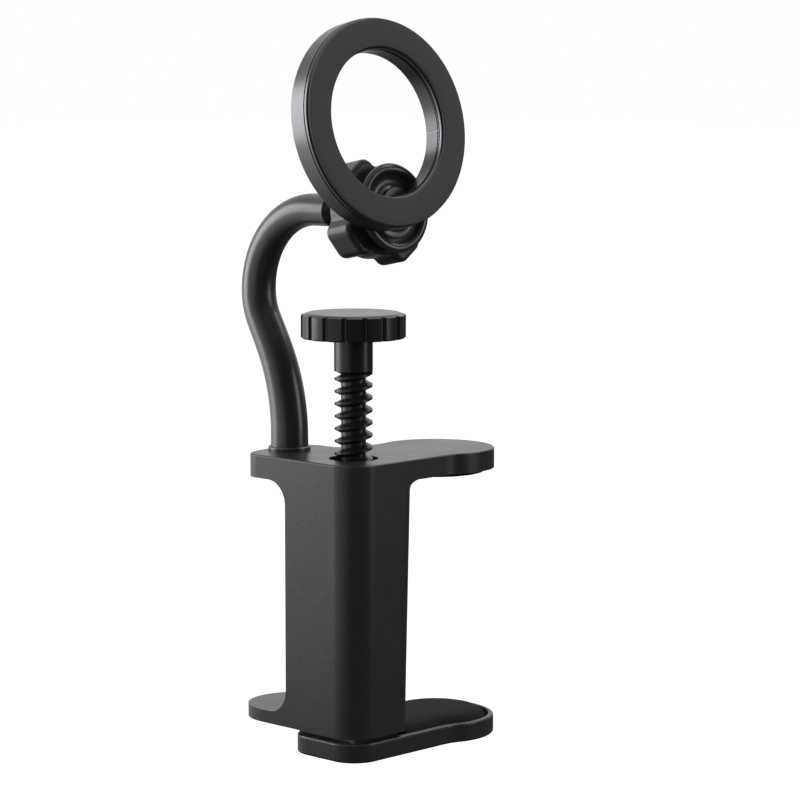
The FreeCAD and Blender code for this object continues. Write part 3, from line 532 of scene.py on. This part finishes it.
@dataclass
class RingHead(SubAssembly):
    """Magnet ring with its silicone face and the bent strip that lines its hole."""

    finishes: dict[str, Finish] = field(default_factory=lambda: {
        "head_screws": STEEL,
        "ring_housing": ANODISED,
        "ring_cover": ANODISED,
        "ring_yoke": STEEL,
        "ring_magnets": NICKEL,
        "ring_pad": SILICONE,
    })
    steps: int = 144
    face_round: float = 0.22 * MM
    face_crown: float = 0.05 * MM
    face_segments: int = 5
    crown_cuts: int = 3
    crown_width: float = 0.66
    smooth_angle: float = 32.0
    strip_thick: float = 0.15 * MM
    strip_clear: float = 0.02 * MM
    strip_low: float = 0.45 * MM
    strip_high: float = 4.85 * MM
    strip_gap: float = 1.0
    strip_turn: float = -7.0
    # The strip's last points are found within this share of its gap.
    end_band: float = 0.1

    def build(self, nodes: dict[str, bpy.types.Object], shop: PaintShop) -> None:
        """Dress the solids, mould the face and line the hole.

        Args:
            nodes: the frame's solids by name.
            shop: the maker of materials.
        """
        super().build(nodes, shop)
        inner, outer, low, high = self._measure(nodes["ring_pad"])
        face = self._profile("ring_face", inner, outer, low, high)
        self._soften(face, low, high)
        self._spin(face, 360.0)
        shop.dress(face, SILICONE)
        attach(face, "head")
        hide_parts("ring_pad")

        hole = self._measure(nodes["ring_housing"])[0] - self.strip_clear
        strip = self._profile(
            "ring_lining", hole - self.strip_thick, hole, self.strip_low, self.strip_high
        )
        self._spin(strip, 360.0 - self.strip_gap)
        shop.dress(strip, BRUSHED)
        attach(strip, "head")

    def _placing(self) -> Matrix:
        """Find the move from a ring about Z to the ring's own place.

        Returns:
            The matrix of that move.
        """
        centre, facing = (Vector(part) for part in RING_AXIS)
        side = Vector((0, 0, 1)).cross(facing).normalized()
        turn = Matrix((side, facing.cross(side), facing)).transposed().to_4x4()
        return Matrix.Translation(centre) @ turn

    def _measure(self, node: bpy.types.Object) -> tuple[float, float, float, float]:
        """Measure a round solid about the ring's axis.

        Args:
            node: the solid.

        Returns:
            Its inner and outer radius, and its lowest and highest point along the axis.
        """
        back = self._placing().inverted()
        points = [back @ vertex.co for vertex in node.data.vertices]
        radii = [math.hypot(point.x, point.y) for point in points]
        heights = [point.z for point in points]
        return min(radii), max(radii), min(heights), max(heights)

    def _profile(
        self, name: str, inner: float, outer: float, low: float, high: float
    ) -> bpy.types.Object:
        """Start a ring from the rectangle that it is spun from.

        Args:
            name: the piece's name.
            inner: the ring's inner radius.
            outer: its outer radius.
            low: its lowest point along the axis.
            high: its highest point along the axis.

        Returns:
            The new piece, a flat face beside the Z axis.
        """
        bpy.ops.object.select_all(action="DESELECT")
        bpy.ops.mesh.primitive_plane_add(size=1.0, rotation=(math.pi / 2, 0, 0))
        piece = bpy.context.object
        piece.name = name
        piece.scale = (outer - inner, high - low, 1.0)
        piece.location = ((inner + outer) / 2, 0, (low + high) / 2)
        bpy.ops.object.transform_apply(location=True, rotation=True, scale=True)
        return piece

    def _soften(self, piece: bpy.types.Object, low: float, high: float) -> None:
        """Round the face's front corners and crown it a little.

        Args:
            piece: the face's profile.
            low: its lowest point along the axis.
            high: its highest point along the axis.
        """
        self._select(piece, lambda place: place.z > (low + high) / 2)
        bpy.ops.mesh.bevel(
            offset=self.face_round, segments=self.face_segments, affect="VERTICES"
        )
        self._select(piece, lambda place: place.z > high - CLOSE)
        bpy.ops.mesh.subdivide(number_cuts=self.crown_cuts)
        across = [vertex.co.x for vertex in piece.data.vertices]
        middle = sum(across) / len(across)
        half = self.crown_width * (max(across) - middle)
        self._select(
            piece, lambda place: place.z > high - CLOSE and abs(place.x - middle) < half
        )
        bpy.ops.transform.translate(value=(0, 0, self.face_crown))
        bpy.ops.object.mode_set(mode="OBJECT")

    def _select(self, piece: bpy.types.Object, wanted: Callable[[Vector], bool]) -> None:
        """Select a piece's vertices by their place, and stay in edit mode.

        Args:
            piece: the piece to select on.
            wanted: says whether a place is selected.
        """
        only(piece)
        bpy.ops.object.mode_set(mode="EDIT")
        bpy.ops.mesh.select_mode(type="VERT")
        bpy.ops.mesh.select_all(action="DESELECT")
        bpy.ops.object.mode_set(mode="OBJECT")
        for vertex in piece.data.vertices:
            vertex.select = wanted(vertex.co)
        bpy.ops.object.mode_set(mode="EDIT")

    def _spin(self, piece: bpy.types.Object, degrees: float) -> None:
        """Spin a profile about Z, close its ends and put the ring in its place.

        Args:
            piece: the profile, a flat face.
            degrees: how far it is spun.
        """
        self._select(piece, lambda place: True)
        bpy.ops.mesh.delete(type="ONLY_FACE")
        self._select(piece, lambda place: True)
        bpy.ops.mesh.spin(
            steps=self.steps, angle=math.radians(degrees), center=(0, 0, 0), axis=(0, 0, 1)
        )
        bpy.ops.mesh.select_all(action="SELECT")
        bpy.ops.mesh.remove_doubles(threshold=CLOSE)
        if degrees < 360:
            last = math.radians(360 - degrees)
            self._select(piece, lambda place: place.x > 0 and abs(place.y) < CLOSE)
            bpy.ops.mesh.edge_face_add()
            self._select(
                piece,
                lambda place: abs(abs(math.atan2(place.y, place.x)) - last) < self.end_band * last,
            )
            bpy.ops.mesh.edge_face_add()
        bpy.ops.mesh.select_all(action="SELECT")
        bpy.ops.mesh.normals_make_consistent(inside=False)
        bpy.ops.object.mode_set(mode="OBJECT")
        bpy.ops.object.shade_smooth_by_angle(angle=math.radians(self.smooth_angle))
        turn = Matrix.Rotation(math.radians(self.strip_turn), 4, "Z")
        piece.matrix_world = self._placing() @ turn
        bpy.ops.object.transform_apply(location=True, rotation=True, scale=True)


@dataclass(frozen=True)
class SoftBox:
    """A flat lamp: its place from the aim, its width and height, and its power in watts."""

    name: str
    offset: tuple[float, float, float]
    sides: tuple[float, float]
    watts: float


@dataclass
class Studio:
    """Floor, light and camera of the photograph."""

    aim: tuple[float, float, float] = (-23.52 * MM, -8.53 * MM, 23.37 * MM)
    azimuth: float = -45.836
    elevation: float = 6.857
    distance: float = 841.9 * MM
    lens: float = 135.31
    sensor: float = 36.0
    clip: tuple[float, float] = (0.05, 50.0)
    floor_size: float = 12.0
    jaw_room: float = 30.0 * MM
    floor_share: float = 0.72
    floor_glow: float = 1.1
    # Painted shade on the floor: along this way the paper grades from grey in front to white
    # behind; the camera sees only the white.
    sweep_way: tuple[float, float, float] = (-0.5, 0.85, 0.0)
    sweep_start: float = 0.03
    sweep_end: float = 0.36
    front_painted_shade: str = "#484848"
    back_paper: str = "#f4f4f4"
    front_glow: float = 0.03
    back_glow: float = 0.95
    back_range: tuple[float, float] = (-0.6, 0.5)
    over_glow: float = 0.6
    over_range: tuple[float, float] = (0.55, 0.9)
    fill_glow: float = 1.0
    # A wide lamp at the left behind the object, one high at the right and a weak one in front.
    boxes: tuple[SoftBox, ...] = (
        SoftBox("left_box", (-0.545, 0.839, 0.2), (0.6, 0.65), 7.5),
        SoftBox("right_box", (0.64, -0.17, 0.69), (0.4, 0.4), 3.0),
        SoftBox("front_box", (0.53, -0.85, 0.1), (0.3, 0.8), 2.6),
    )

    def build(self, floor_height: float) -> None:
        """Make the floor, the world, the lamps and the camera.

        Args:
            floor_height: height of the object's lowest point. The floor lies below it by the
                lower jaw's travel, so that the open jaw doesn't sink into it.
        """
        self._floor(floor_height - self.jaw_room)
        self._world()
        for box in self.boxes:
            self._lamp(box)
        self._camera()

    def _floor(self, height: float) -> None:
        """A wide paper sweep, white to the camera, that keeps the object's shadow.

        In reflections it grades from grey in front to white behind, as in the photograph: the grey
        is painted shade in the paper's colour, for the dim front of the studio.

        Args:
            height: where the floor lies.
        """
        bpy.ops.object.select_all(action="DESELECT")
        bpy.ops.mesh.primitive_plane_add(size=self.floor_size, location=(0, 0, height))
        floor = bpy.context.object
        floor.name = "studio_floor"
        made = bpy.data.materials.new("paper_sweep_with_painted_shade")
        made.use_nodes = True
        tree = made.node_tree
        tree.nodes.clear()
        seen = add_node(tree, "ShaderNodeLightPath").outputs["Is Camera Ray"]
        place = add_node(tree, "ShaderNodeTexCoord").outputs["Object"]
        depth = add_node(
            tree, "ShaderNodeVectorMath", {"operation": "DOT_PRODUCT", 1: self.sweep_way},
            {0: place},
        ).outputs["Value"]
        # Painted shade: the paper is grey in front and white behind, and white wherever the camera
        # looks straight at it.
        shade = self._step(tree, depth, (self.sweep_start, self.sweep_end), (0.0, 1.0))
        shade = add_node(
            tree, "ShaderNodeMath", {"operation": "MAXIMUM"}, {0: shade, 1: seen}
        ).outputs["Value"]
        tint = add_node(
            tree, "ShaderNodeMix",
            {"data_type": "RGBA", 6: linear(self.front_painted_shade), 7: linear(self.back_paper)},
            {0: shade},
        ).outputs[2]
        paper = add_node(tree, "ShaderNodeBsdfDiffuse", links={"Color": tint}).outputs["BSDF"]
        glow = add_node(
            tree, "ShaderNodeEmission", {"Strength": self.floor_glow}
        ).outputs["Emission"]
        share = add_node(
            tree, "ShaderNodeMath", {"operation": "MULTIPLY", 1: self.floor_share}, {0: seen}
        ).outputs["Value"]
        mix = add_node(
            tree, "ShaderNodeMixShader", links={0: share, 1: paper, 2: glow}
        ).outputs["Shader"]
        add_node(tree, "ShaderNodeOutputMaterial", links={"Surface": mix})
        floor.data.materials.append(made)
        floor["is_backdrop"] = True

    def _step(
        self,
        tree: bpy.types.NodeTree,
        value: bpy.types.NodeSocket,
        reach: tuple[float, float],
        levels: tuple[float, float],
    ) -> bpy.types.NodeSocket:
        """Grade softly from one level to another.

        Args:
            tree: the node tree.
            value: the socket that the grading follows.
            reach: where it starts and ends.
            levels: what it gives there.

        Returns:
            The socket with the level.
        """
        return add_node(
            tree, "ShaderNodeMapRange",
            {"interpolation_type": "SMOOTHSTEP", "From Min": reach[0], "From Max": reach[1],
             "To Min": levels[0], "To Max": levels[1]},
            {"Value": value},
        ).outputs["Result"]

    def _world(self) -> None:
        """White to the camera. In reflections, bright behind and over the object, dim in front."""
        world = bpy.data.worlds.new("studio")
        bpy.context.scene.world = world
        world.use_nodes = True
        tree = world.node_tree
        tree.nodes.clear()
        way = add_node(tree, "ShaderNodeTexCoord").outputs["Generated"]
        parts = add_node(tree, "ShaderNodeSeparateXYZ", links={0: way})
        back = self._step(
            tree, parts.outputs["Y"], self.back_range, (self.front_glow, self.back_glow)
        )
        over = self._step(tree, parts.outputs["Z"], self.over_range, (0.0, self.over_glow))
        glow = add_node(
            tree, "ShaderNodeMath", {"operation": "ADD"}, {0: back, 1: over}
        ).outputs["Value"]
        path = add_node(tree, "ShaderNodeLightPath")
        shiny = add_node(
            tree, "ShaderNodeMath", {"operation": "MAXIMUM"},
            {0: path.outputs["Is Glossy Ray"], 1: path.outputs["Is Transmission Ray"]},
        ).outputs["Value"]
        level = add_node(
            tree, "ShaderNodeMix", {"data_type": "FLOAT", 2: self.fill_glow}, {0: shiny, 3: glow}
        ).outputs[0]
        level = add_node(
            tree, "ShaderNodeMix", {"data_type": "FLOAT", 3: 1.0},
            {0: path.outputs["Is Camera Ray"], 2: level},
        ).outputs[0]
        sky = add_node(
            tree, "ShaderNodeBackground", {"Color": linear("#ffffff")}, {"Strength": level}
        ).outputs["Background"]
        add_node(tree, "ShaderNodeOutputWorld", links={"Surface": sky})

    def _lamp(self, box: SoftBox) -> None:
        """Hang a soft box that faces the object.

        Args:
            box: the lamp's sizes.
        """
        lamp = bpy.data.lights.new(box.name, "AREA")
        lamp.shape = "RECTANGLE"
        lamp.size, lamp.size_y = box.sides
        lamp.energy = box.watts
        holder = bpy.data.objects.new(box.name, lamp)
        place = Vector(self.aim) + Vector(box.offset)
        holder.location = place
        holder.rotation_euler = (Vector(self.aim) - place).to_track_quat("-Z", "Y").to_euler()
        bpy.context.scene.collection.objects.link(holder)

    def _camera(self) -> None:
        """The photograph's viewing angle and lens."""
        turn, rise = math.radians(self.azimuth), math.radians(self.elevation)
        flat = math.cos(rise)
        back = Vector((math.sin(turn) * flat, -math.cos(turn) * flat, math.sin(rise)))
        lens = bpy.data.cameras.new("photo_camera")
        lens.lens = self.lens
        lens.sensor_width = self.sensor
        lens.clip_start, lens.clip_end = self.clip
        camera = bpy.data.objects.new("photo_camera", lens)
        camera.location = Vector(self.aim) + back * self.distance
        camera.rotation_euler = (-back).to_track_quat("-Z", "Y").to_euler()
        bpy.context.scene.collection.objects.link(camera)
        bpy.context.scene.camera = camera


def main() -> None:
    """Dress the solids, add the soft pieces and light them."""
    logging.basicConfig(level=logging.INFO, format="%(message)s")
    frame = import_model()
    cad_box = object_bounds()
    bpy.context.scene.view_settings.view_transform = "Standard"
    Studio().build(cad_box[0].z)
    shop = PaintShop()
    for part in (ScrewClamp(), BentArm(), BallJoint(), RingHead()):
        part.build(frame["nodes"], shop)
        log.info("%s is done", type(part).__name__)


if __name__ == "__main__":
    main()
